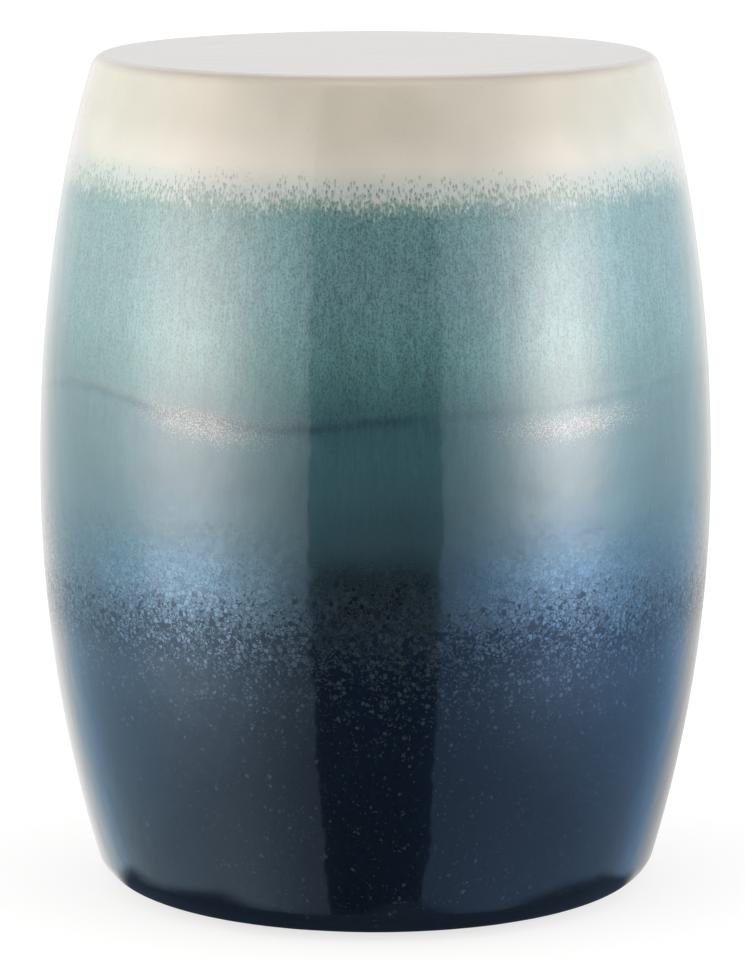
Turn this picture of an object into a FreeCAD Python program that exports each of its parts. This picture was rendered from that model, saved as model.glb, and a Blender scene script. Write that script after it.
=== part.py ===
"""Barrel-shaped ceramic garden stool with a flat closed seat and an open underside.

The stool is one hollow stoneware drum, slip-cast with its seat and an in-turned foot
ring. Four coats of glaze lie over it as a thin skin: cream on the seat and shoulder, two
teal coats that meet along a wavy run line, and navy down to the foot. The ring it stands
on is bare clay and carries four stuck-on rubber pads.

Millimetres, +Z up, origin on the floor under the middle of the stool.
"""

import FreeCAD, Part
import os
from math import asin, atan2, cos, pi, radians, sin, sqrt

from FreeCAD import Vector

# Overall sizes, measured over the glaze
STOOL_HEIGHT = 457.0       # floor to seat, pads included
BELLY_RADIUS = 184.5       # widest circle
BELLY_LEVEL = 226.0        # height of the widest circle above the floor

# Curvature of the wall, seen from the side
LOWER_WALL_ARC = 768.0     # belly down to the foot
UPPER_WALL_ARC = 900.0     # belly up to the shoulder
SHOULDER_ARC = 510.0       # shoulder up to the seat rim
SHOULDER_DROP = 67.0       # below the seat, where the wall begins to turn in faster
RIM_ROUND = 8.5            # rounded edge between shoulder and seat
FOOT_ROUND = 20.0          # rounded turn from wall to foot ring

# Clay and glaze thicknesses
GLAZE_THICK = 0.8
WALL_THICK = 7.0
SEAT_THICK = 10.0
FOOT_THICK = 10.0
SEAT_CORNER_ROUND = 24.0   # hollow corner where the cast seat meets the wall
FOOT_CORNER_ROUND = 10.0   # hollow corner where the wall meets the foot ring
FOOT_OPENING_RADIUS = 106.0
LIP_BEVEL = 3.0            # both edges of the opening in the foot ring, sponged off at 45 degrees

# Glaze coats, from the seat down
GLAZE_STOP_ANGLE = radians(66)     # how far the glaze runs under the foot round, below level
CREAM_DROP = 59.0                  # below the seat, where the cream gives way to the upper teal
RUN_LEVEL = 286.4                  # mean height of the run line between the two teals
RUN_SWAY = 16.5                    # how far the run line wanders up and down at the most
NAVY_LEVEL = 188.0                 # height where the lower teal gives way to the navy
# The wander of the run line is a sum of waves: turns round the drum, share of the sway, start
RUN_WAVES = ((1, 0.27, radians(98)), (4, 0.43, radians(174)), (5, 0.30, radians(22)))
RUN_POINTS = 40                    # points that carry the run line round the drum
CUT_OVERREACH = 1.0                # how far a cut between two coats passes outside the belly

# Pads
PAD_COUNT = 4
PAD_RADIUS = 9.0
PAD_THICK = 2.2
PAD_BEVEL = 0.5            # lower edge of a pad
TAPE_THICK = 0.3           # double-sided adhesive disc
TAPE_INSET = 0.5           # the tape disc is this much smaller than its pad
FIRST_PAD_ANGLE = radians(45)

FOOT_LEVEL = PAD_THICK + TAPE_THICK
SEAT_LEVEL = STOOL_HEIGHT
SHOULDER_LEVEL = SEAT_LEVEL - SHOULDER_DROP
CREAM_LEVEL = SEAT_LEVEL - CREAM_DROP

AXIS = Vector(0, 0, 1)
ORIGIN = Vector(0, 0, 0)


def at(centre, radius, angle):
    """The point (r, z) on a circle of the side view, at an angle above level."""
    return (centre[0] + radius * cos(angle), centre[1] + radius * sin(angle))


def point(rz):
    """A point of the side view as a vector in the XZ plane."""
    return Vector(rz[0], 0, rz[1])


def line(start, end):
    """A straight edge of a side-view outline."""
    return Part.LineSegment(point(start), point(end)).toShape()


def path(corners):
    """Straight edges through these corners of a side-view outline."""
    return [line(start, end) for start, end in zip(corners, corners[1:])]


def arc(centre, radius, first, last):
    """A round edge of a side-view outline, from one angle to another."""
    middle = at(centre, radius, (first + last) / 2)
    ends = at(centre, radius, first), at(centre, radius, last)
    return Part.Arc(point(ends[0]), point(middle), point(ends[1])).toShape()


def ball_centre(wall_centre, wall_radius, ball_radius, level):
    """Centre, at a given height, of a round that rolls inside a wall arc."""
    reach = wall_radius - ball_radius
    return (wall_centre[0] + sqrt(reach**2 - (level - wall_centre[1]) ** 2), level)


def bearing(start, end):
    """Angle above level of the direction from one side-view point to another."""
    return atan2(end[1] - start[1], end[0] - start[0])


# Centres of the arcs. Every skin of the drum is made of arcs about these same centres.
LOWER_CENTRE = (BELLY_RADIUS - LOWER_WALL_ARC, BELLY_LEVEL)
UPPER_CENTRE = (BELLY_RADIUS - UPPER_WALL_ARC, BELLY_LEVEL)
SHOULDER_ANGLE = asin((SHOULDER_LEVEL - BELLY_LEVEL) / UPPER_WALL_ARC)
SHOULDER_CENTRE = at(UPPER_CENTRE, UPPER_WALL_ARC - SHOULDER_ARC, SHOULDER_ANGLE)
RIM_CENTRE = ball_centre(SHOULDER_CENTRE, SHOULDER_ARC, RIM_ROUND, SEAT_LEVEL - RIM_ROUND)
FOOT_CENTRE = ball_centre(
    LOWER_CENTRE, LOWER_WALL_ARC, FOOT_ROUND, FOOT_LEVEL + FOOT_ROUND - GLAZE_THICK
)
RIM_ANGLE = bearing(SHOULDER_CENTRE, RIM_CENTRE)
FOOT_ANGLE = bearing(LOWER_CENTRE, FOOT_CENTRE)

# Inner skin of the drum
CLAY_DEPTH = GLAZE_THICK + WALL_THICK
SEAT_UNDERSIDE = SEAT_LEVEL - GLAZE_THICK - SEAT_THICK
FOOT_TOP = FOOT_LEVEL + FOOT_THICK
SEAT_CORNER_CENTRE = ball_centre(
    SHOULDER_CENTRE, SHOULDER_ARC - CLAY_DEPTH, SEAT_CORNER_ROUND, SEAT_UNDERSIDE - SEAT_CORNER_ROUND
)
FOOT_CORNER_CENTRE = ball_centre(
    LOWER_CENTRE, LOWER_WALL_ARC - CLAY_DEPTH, FOOT_CORNER_ROUND, FOOT_TOP + FOOT_CORNER_ROUND
)
PAD_RING_RADIUS = (FOOT_OPENING_RADIUS + LIP_BEVEL + FOOT_CENTRE[0]) / 2


def outer_arcs(depth, foot_start):
    """Side-view arcs of the skin lying this far inside the glaze, from foot to seat.

    The longest arc is drawn in two spans, which lets its faces be meshed with far fewer facets.
    """
    return [
        arc(FOOT_CENTRE, FOOT_ROUND - depth, foot_start, FOOT_ANGLE),
        arc(LOWER_CENTRE, LOWER_WALL_ARC - depth, FOOT_ANGLE, FOOT_ANGLE / 2),
        arc(LOWER_CENTRE, LOWER_WALL_ARC - depth, FOOT_ANGLE / 2, 0),
        arc(UPPER_CENTRE, UPPER_WALL_ARC - depth, 0, SHOULDER_ANGLE),
        arc(SHOULDER_CENTRE, SHOULDER_ARC - depth, SHOULDER_ANGLE, RIM_ANGLE),
        arc(RIM_CENTRE, RIM_ROUND - depth, RIM_ANGLE, pi / 2),
    ]


def inner_arcs():
    """Side-view arcs of the hollow, from the underside of the seat to the foot ring."""
    seat_corner = bearing(SHOULDER_CENTRE, SEAT_CORNER_CENTRE)
    foot_corner = bearing(LOWER_CENTRE, FOOT_CORNER_CENTRE)
    return [
        arc(SEAT_CORNER_CENTRE, SEAT_CORNER_ROUND, pi / 2, seat_corner),
        arc(SHOULDER_CENTRE, SHOULDER_ARC - CLAY_DEPTH, seat_corner, SHOULDER_ANGLE),
        arc(UPPER_CENTRE, UPPER_WALL_ARC - CLAY_DEPTH, SHOULDER_ANGLE, 0),
        arc(LOWER_CENTRE, LOWER_WALL_ARC - CLAY_DEPTH, 0, foot_corner / 2),
        arc(LOWER_CENTRE, LOWER_WALL_ARC - CLAY_DEPTH, foot_corner / 2, foot_corner),
        arc(FOOT_CORNER_CENTRE, FOOT_CORNER_ROUND, foot_corner, -pi / 2),
    ]


def turned(edges):
    """The solid that a closed side-view outline makes when turned about the axis."""
    outline = Part.Wire(Part.sortEdges(edges)[0])
    return Part.Face(outline).revolve(ORIGIN, AXIS, 360)


def drum_body():
    """The fired stoneware drum: wall, seat and foot ring in one casting."""
    clay_top = SEAT_LEVEL - GLAZE_THICK
    lip_radius = FOOT_OPENING_RADIUS + LIP_BEVEL
    seat_corners = [
        (RIM_CENTRE[0], clay_top),
        (0, clay_top),
        (0, SEAT_UNDERSIDE),
        (SEAT_CORNER_CENTRE[0], SEAT_UNDERSIDE),
    ]
    foot_corners = [
        (FOOT_CORNER_CENTRE[0], FOOT_TOP),
        (lip_radius, FOOT_TOP),
        (FOOT_OPENING_RADIUS, FOOT_TOP - LIP_BEVEL),
        (FOOT_OPENING_RADIUS, FOOT_LEVEL + LIP_BEVEL),
        (lip_radius, FOOT_LEVEL),
        (FOOT_CENTRE[0], FOOT_LEVEL),
    ]
    return turned(
        outer_arcs(GLAZE_THICK, -pi / 2) + path(seat_corners) + inner_arcs() + path(foot_corners)
    )


def glaze_skin():
    """The whole glaze as one thin shell, with a square end where it stops at the foot."""
    clay_top = SEAT_LEVEL - GLAZE_THICK
    seat_corners = [
        (RIM_CENTRE[0], SEAT_LEVEL),
        (0, SEAT_LEVEL),
        (0, clay_top),
        (RIM_CENTRE[0], clay_top),
    ]
    foot_end = [
        at(FOOT_CENTRE, FOOT_ROUND, -GLAZE_STOP_ANGLE),
        at(FOOT_CENTRE, FOOT_ROUND - GLAZE_THICK, -GLAZE_STOP_ANGLE),
    ]
    return turned(
        outer_arcs(0, -GLAZE_STOP_ANGLE)
        + path(seat_corners)
        + outer_arcs(GLAZE_THICK, -GLAZE_STOP_ANGLE)
        + path(foot_end)
    )


def run_line(radius):
    """The run line at a given distance from the axis: a closed curve that wanders up and down."""
    points = []
    for step in range(RUN_POINTS):
        turn = 2 * pi * step / RUN_POINTS
        wander = sum(share * cos(turns * turn - start) for turns, share, start in RUN_WAVES)
        points.append(Vector(radius * sin(turn), -radius * cos(turn), RUN_LEVEL + RUN_SWAY * wander))
    curve = Part.BSplineCurve()
    curve.interpolate(Points=points, PeriodicFlag=True)
    return curve.toShape()


def space_below_run_line():
    """A ring-shaped block that reaches from the run line down past the floor."""
    top = Part.makeRuledSurface(run_line(BELLY_RADIUS / 2), run_line(BELLY_RADIUS + CUT_OVERREACH))
    return top.extrude(Vector(0, 0, -STOOL_HEIGHT))


def space_below_level(level):
    """A round block that reaches from a level cut down past the floor."""
    return Part.makeCylinder(
        BELLY_RADIUS + CUT_OVERREACH, STOOL_HEIGHT, Vector(0, 0, level - STOOL_HEIGHT), AXIS
    )


def glaze_coats():
    """The glaze skin cut into its four coats, from the seat down."""
    rest = glaze_skin()
    coats = {}
    for name, below in (
        ("glaze_cream", space_below_level(CREAM_LEVEL)),
        ("glaze_upper_teal", space_below_run_line()),
        ("glaze_lower_teal", space_below_level(NAVY_LEVEL)),
    ):
        coats[name] = rest.cut(below)
        rest = rest.common(below)
    coats["glaze_navy"] = rest
    # Spline faces are meshed with fewer facets along the run line
    for name in ("glaze_upper_teal", "glaze_lower_teal"):
        coats[name] = coats[name].toNurbs()
    return coats


def pad_place(index):
    """Centre of a pad on the foot ring, at the level of the floor."""
    angle = FIRST_PAD_ANGLE + 2 * pi * index / PAD_COUNT
    return Vector(PAD_RING_RADIUS * cos(angle), PAD_RING_RADIUS * sin(angle), 0)


def rubber_pad(place):
    """A flat rubber bumper with a bevelled lower edge."""
    pad = Part.makeCylinder(PAD_RADIUS, PAD_THICK, place, AXIS)
    lower_edge = [e for e in pad.Edges if e.BoundBox.ZMax < PAD_THICK / 2]
    return pad.makeChamfer(PAD_BEVEL, lower_edge)


def tape_disc(place):
    """The adhesive disc that holds a pad to the bare clay."""
    return Part.makeCylinder(
        PAD_RADIUS - TAPE_INSET, TAPE_THICK, place + Vector(0, 0, PAD_THICK), AXIS
    )


def all_pieces():
    """Every piece of the stool by its node name."""
    pieces = {"drum_body": drum_body()}
    pieces.update(glaze_coats())
    for index in range(PAD_COUNT):
        place = pad_place(index)
        pieces[f"rubber_pad_{index + 1}"] = rubber_pad(place)
        pieces[f"adhesive_disc_{index + 1}"] = tape_disc(place)
    return pieces


os.makedirs("parts", exist_ok=True)
for name, shape in all_pieces().items():
    solids = shape.Solids
    if len(solids) != 1 or not solids[0].isValid():
        raise RuntimeError(f"{name} is not one valid solid")
    solids[0].exportStep(f"parts/{name}.step")
    print(name, round(solids[0].Volume / 1000, 2), "cm3")
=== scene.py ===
"""Looks of a barrel-shaped ceramic garden stool with a flat closed seat.

Four coats of reactive glaze lie over one stoneware drum: cream on the seat and shoulder, two
teal coats that meet along a wavy run line, and navy down to the foot. Each coat is a thin
closed shell with real ripples in the glaze. The bare clay foot carries four rubber pads.
"""

import logging
from dataclasses import dataclass, field
from enum import Enum
from math import asin, atan2, cos, pi, radians, sin, sqrt
from typing import Callable, Mapping, Sequence, Union

import bpy
import numpy as np
from mathutils import Euler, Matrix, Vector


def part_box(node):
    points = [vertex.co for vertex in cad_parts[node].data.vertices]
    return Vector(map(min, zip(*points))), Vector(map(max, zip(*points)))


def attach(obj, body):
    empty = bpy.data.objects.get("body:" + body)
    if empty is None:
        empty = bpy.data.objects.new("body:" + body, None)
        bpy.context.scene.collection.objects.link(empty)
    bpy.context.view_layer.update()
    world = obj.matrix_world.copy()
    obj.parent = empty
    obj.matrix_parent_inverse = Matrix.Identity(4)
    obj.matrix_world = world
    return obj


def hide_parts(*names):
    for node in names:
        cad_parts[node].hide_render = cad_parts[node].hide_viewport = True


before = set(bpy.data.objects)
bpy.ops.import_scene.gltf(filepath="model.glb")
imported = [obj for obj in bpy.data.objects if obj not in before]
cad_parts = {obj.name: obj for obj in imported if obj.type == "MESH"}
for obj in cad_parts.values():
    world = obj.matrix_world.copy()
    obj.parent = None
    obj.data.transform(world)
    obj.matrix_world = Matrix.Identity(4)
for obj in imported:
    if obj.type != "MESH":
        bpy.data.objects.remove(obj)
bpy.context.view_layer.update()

logging.basicConfig(level=logging.INFO, format="%(message)s")
log = logging.getLogger("stool")

MM = 0.001
BODY = "root"

Array = np.ndarray
Colour = tuple[float, float, float]
Socket = bpy.types.NodeSocket
Feed = Union[float, Sequence[float], Socket]


# Side view of the drum

@dataclass(frozen=True)
class Stretch:
    """One stretch of the drum's side view, round or flat.

    Distances run along the glaze from the middle of the seat, out, down and under to the foot.
    """

    start: float                    # distance at which the stretch begins, metres
    length: float
    centre: tuple[float, float]     # r and z of the centre of the round
    radius: float                   # zero for the flat seat
    first_angle: float              # angle above level of the outward direction, at the start


@dataclass(frozen=True)
class SideView:
    """The outline of the glazed drum, in arcs that share tangents, from its driving sizes."""

    height: float = 457 * MM
    belly_radius: float = 184.5 * MM
    belly_level: float = 226 * MM
    lower_arc: float = 768 * MM
    upper_arc: float = 900 * MM
    shoulder_arc: float = 510 * MM
    shoulder_level: float = 390 * MM
    rim_round: float = 8.5 * MM
    foot_round: float = 20 * MM
    foot_level: float = 2.5 * MM
    glaze_thick: float = 0.8 * MM
    glaze_stop: float = radians(66)

    def rolled_centre(
        self, wall_centre: tuple[float, float], wall_radius: float, ball_radius: float, level: float
    ) -> tuple[float, float]:
        """Centre, at a height, of a round that rolls inside a wall arc.

        Args:
            wall_centre: r and z of the wall arc's centre.
            wall_radius: radius of the wall arc.
            ball_radius: radius of the round.
            level: height of the wanted centre.

        Returns:
            r and z of the round's centre.
        """
        reach = wall_radius - ball_radius
        return (wall_centre[0] + sqrt(reach**2 - (level - wall_centre[1]) ** 2), level)

    def stretches(self) -> list[Stretch]:
        """The flat seat and the five rounds of the outer skin, in order of distance."""
        upper = (self.belly_radius - self.upper_arc, self.belly_level)
        lower = (self.belly_radius - self.lower_arc, self.belly_level)
        turn = asin((self.shoulder_level - self.belly_level) / self.upper_arc)
        reach = self.upper_arc - self.shoulder_arc
        shoulder = (upper[0] + reach * cos(turn), upper[1] + reach * sin(turn))
        rim = self.rolled_centre(shoulder, self.shoulder_arc, self.rim_round, self.height - self.rim_round)
        foot_height = self.foot_level + self.foot_round - self.glaze_thick
        foot = self.rolled_centre(lower, self.lower_arc, self.foot_round, foot_height)
        rim_angle = atan2(rim[1] - shoulder[1], rim[0] - shoulder[0])
        foot_angle = atan2(foot[1] - lower[1], foot[0] - lower[0])
        rounds = (
            (rim, self.rim_round, pi / 2, rim_angle),
            (shoulder, self.shoulder_arc, rim_angle, turn),
            (upper, self.upper_arc, turn, 0.0),
            (lower, self.lower_arc, 0.0, foot_angle),
            (foot, self.foot_round, foot_angle, -self.glaze_stop),
        )
        made = [Stretch(0.0, rim[0], (0.0, self.height), 0.0, pi / 2)]
        for centre, radius, first, last in rounds:
            before = made[-1]
            start = before.start + before.length
            made.append(Stretch(start, radius * (first - last), centre, radius, first))
        return made

    def place(self, distance: Array, depth: Array) -> tuple[Array, Array, Array]:
        """Points of the side view, as whole arrays.

        On a round, the point is the centre plus (radius less depth) along the outward direction,
        whose angle falls by distance over radius. On the seat, r is the distance itself.

        Args:
            distance: distances along the outer skin.
            depth: how far inside that skin each point lies.

        Returns:
            r, z and the outward direction's angle above level.
        """
        parts = self.stretches()
        starts = np.array([part.start for part in parts])
        which = np.clip(np.searchsorted(starts, distance, side="right") - 1, 0, len(parts) - 1)
        along = distance - starts[which]
        radius = np.array([part.radius for part in parts])[which]
        centre_r = np.array([part.centre[0] for part in parts])[which]
        centre_z = np.array([part.centre[1] for part in parts])[which]
        first = np.array([part.first_angle for part in parts])[which]
        flat = which == 0
        angle = first - np.where(flat, 0.0, along / np.where(flat, 1.0, radius))
        r = np.where(flat, along, centre_r + (radius - depth) * np.cos(angle))
        z = np.where(flat, centre_z - depth, centre_z + (radius - depth) * np.sin(angle))
        return r, z, angle

    def end(self) -> float:
        """Distance at which the glaze stops, under the foot round."""
        last = self.stretches()[-1]
        return last.start + last.length

    def seat_edge(self) -> float:
        """Distance from the middle of the seat to the start of the rim round."""
        return self.stretches()[1].start

    def at_level(self, level: Array) -> Array:
        """Distances of the wall at these heights, read off the rising table of falling heights."""
        table = np.linspace(self.seat_edge(), self.end(), 40001)
        heights = self.place(table, np.zeros_like(table))[1]
        return np.interp(-np.asarray(level), -heights, table)


SIDE = SideView()


# The wavy line where one teal coat has run over the other

@dataclass(frozen=True)
class RunLine:
    """Height of the run line round the drum: a mean level and a sum of waves."""

    level: float = 286.4
    sway: float = 16.5
    waves: tuple[tuple[int, float, float], ...] = (
        (1, 0.27, radians(98)),
        (4, 0.43, radians(174)),
        (5, 0.30, radians(22)),
    )

    def heights(self, turn: Array) -> Array:
        """Level plus sway times the sum of share times cos(turns times turn less start), in metres."""
        wander = sum(share * np.cos(turns * turn - start) for turns, share, start in self.waves)
        return (self.level + self.sway * wander) * MM


RUN = RunLine()
CREAM_LEVEL = 398.0
NAVY_LEVEL = 188.0


# Relief of the glaze

@dataclass(frozen=True)
class Ripples:
    """The uneven lie of a run glaze: many small plane waves through space, seeded."""

    seed: int = 7
    count: int = 40
    shortest: float = 3.6 * MM
    longest: float = 36 * MM
    slope: float = 0.0017           # steepest slope of each wave
    roll_height: float = 0.15 * MM  # roll of glaze along the run line
    roll_width: float = 3.2 * MM
    lip_length: float = 1.4 * MM    # rounded stop of the glaze at the foot

    def waves(self) -> tuple[Array, Array, Array]:
        """Directions times wave numbers, heights and starts of the waves."""
        random = np.random.default_rng(self.seed)
        lengths = np.geomspace(self.shortest, self.longest, self.count)
        way = random.normal(size=(self.count, 3))
        way /= np.linalg.norm(way, axis=1)[:, None]
        numbers = 2 * pi / lengths
        return way * numbers[:, None], self.slope / numbers, random.uniform(0, 2 * pi, self.count)

    def lift(self, points: Array, from_run: Array, to_end: Array) -> Array:
        """How far the glaze stands out of the plain skin, never above its highest sum.

        The lift is the sum of height times sin(wave number dot point plus start), plus a bell-shaped
        roll on the run line, less a quarter-ellipse drop over the last millimetre before the end.

        Args:
            points: places on the plain skin.
            from_run: distance below the run line, negative above it.
            to_end: distance left to the end of the glaze.

        Returns:
            The lift in metres, zero or less.
        """
        numbers, heights, starts = self.waves()
        total = np.zeros(points.shape[:-1])
        for number, height, start in zip(numbers, heights, starts):
            total += height * np.sin(points @ number + start)
        total = np.minimum(total - 2.4 * np.sqrt(np.sum(heights**2)), 0)
        total *= np.where(points[..., 2] > SIDE.height - SIDE.rim_round / 4, 0.5, 1.0)
        total += self.roll_height * np.exp(-((from_run / self.roll_width) ** 2))
        share = np.clip(1 - to_end / self.lip_length, 0, 1)
        drop = SIDE.glaze_thick * 0.85 * (1 - np.sqrt(1 - share**2))
        return np.minimum(total, self.roll_height) - drop


RIPPLES = Ripples()


def skin_points(distance: Array, turn: Array) -> Array:
    """Points of the glaze's outer face.

    The side view is turned about the axis by the turn, which is nought towards the viewer and
    grows to the viewer's right, and each point then moves out along its normal by the lift.

    Args:
        distance: distances along the side view, one for each point.
        turn: turns about the axis, of the same shape.

    Returns:
        An array of points with one more axis of length three.
    """
    r, z, angle = SIDE.place(distance, np.zeros_like(distance))
    plain = np.stack([r * np.sin(turn), -r * np.cos(turn), z], axis=-1)
    way = np.stack([np.cos(angle) * np.sin(turn), -np.cos(angle) * np.cos(turn), np.sin(angle)], axis=-1)
    from_run = distance - SIDE.at_level(RUN.heights(turn))
    return plain + way * RIPPLES.lift(plain, from_run, SIDE.end() - distance)[..., None]


def skin_normals(distance: Array, turn: Array) -> Array:
    """Unit normals of the outer face, from central differences: down the wall cross round it."""
    step = 0.25 * MM
    twist = step / SIDE.belly_radius
    down = skin_points(distance + step, turn) - skin_points(np.maximum(distance - step, 0), turn)
    across = skin_points(distance, turn + twist) - skin_points(distance, turn - twist)
    normal = np.cross(down, across)
    size = np.linalg.norm(normal, axis=-1, keepdims=True)
    upright = np.zeros_like(normal)
    upright[..., 2] = 1.0
    return np.where(size > 1e-16, normal / np.maximum(size, 1e-16), upright)


# Meshes

class Closing(Enum):
    """How the two ends of a stack of rings are closed."""

    LOOP = "the last ring joins the first"
    POLES = "each end ring is one point on the axis"


def ring_faces(rings: int, columns: int, closing: Closing) -> tuple[Array, Array]:
    """Faces between rings of points, wound so that they face outwards as the rings go down.

    Args:
        rings: number of full rings.
        columns: points in a ring.
        closing: how the ends are closed. Poles are the last two vertices.

    Returns:
        The quads and the triangles, as arrays of vertex numbers.
    """
    column = np.arange(columns)
    beside = (column + 1) % columns
    ring = np.arange(rings if closing is Closing.LOOP else rings - 1)[:, None]
    below = (ring + 1) % rings
    upper, lower = ring * columns, below * columns
    quads = np.stack([upper + column, lower + column, lower + beside, upper + beside], axis=-1).reshape(-1, 4)
    if closing is Closing.LOOP:
        return quads, np.zeros((0, 3), int)
    top, bottom = rings * columns, rings * columns + 1
    last = (rings - 1) * columns
    caps = [
        np.stack([np.full(columns, top), column, beside], axis=-1),
        np.stack([np.full(columns, bottom), last + beside, last + column], axis=-1),
    ]
    return quads, np.concatenate(caps)


def new_mesh(name: str, vertices: Array, quads: Array, triangles: Array) -> bpy.types.Object:
    """A smooth mesh object made from whole arrays.

    Args:
        name: name of the object and its mesh.
        vertices: points, one row each.
        quads: four-cornered faces.
        triangles: three-cornered faces.

    Returns:
        The linked object, at the origin.
    """
    mesh = bpy.data.meshes.new(name)
    corners = np.concatenate([quads.ravel(), triangles.ravel()]).astype(np.int32)
    sizes = np.concatenate([np.full(len(quads), 4), np.full(len(triangles), 3)])
    starts = np.concatenate([[0], np.cumsum(sizes)[:-1]]).astype(np.int32)
    mesh.vertices.add(len(vertices))
    mesh.vertices.foreach_set("co", np.asarray(vertices, np.float32).ravel())
    mesh.loops.add(len(corners))
    mesh.loops.foreach_set("vertex_index", corners)
    mesh.polygons.add(len(sizes))
    mesh.polygons.foreach_set("loop_start", starts)
    mesh.update(calc_edges=True)
    mesh.polygons.foreach_set("use_smooth", np.ones(len(sizes), bool))
    thing = bpy.data.objects.new(name, mesh)
    bpy.context.scene.collection.objects.link(thing)
    return thing


def own_normals(thing: bpy.types.Object, normals: Array, smooth_faces: Array) -> None:
    """Gives the outer faces their true normals. Other corners get none and keep the plain ones.

    Args:
        thing: the object to shade.
        normals: one normal for each vertex.
        smooth_faces: for each face, whether its corners take those normals.
    """
    mesh = thing.data
    corners = np.empty(len(mesh.loops), np.int32)
    mesh.loops.foreach_get("vertex_index", corners)
    sizes = np.empty(len(mesh.polygons), np.int32)
    mesh.polygons.foreach_get("loop_total", sizes)
    wanted = np.repeat(smooth_faces, sizes)
    mesh.normals_split_custom_set(np.where(wanted[:, None], normals[corners], 0.0).tolist())


def turned_points(r: Array, z: Array, columns: int) -> Array:
    """Rings of points for a side view turned about the axis.

    Each point is (r sin turn, -r cos turn, z).

    Args:
        r: distances from the axis, one for each ring.
        z: heights, one for each ring.
        columns: points in a ring.

    Returns:
        Points, rings by columns by three.
    """
    turn = np.arange(columns) * 2 * pi / columns
    reach = np.broadcast_to(r[:, None], (len(r), columns))
    height = np.broadcast_to(z[:, None], (len(r), columns))
    return np.stack([reach * np.sin(turn), -reach * np.cos(turn), height], axis=-1)


# Node building

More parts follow.
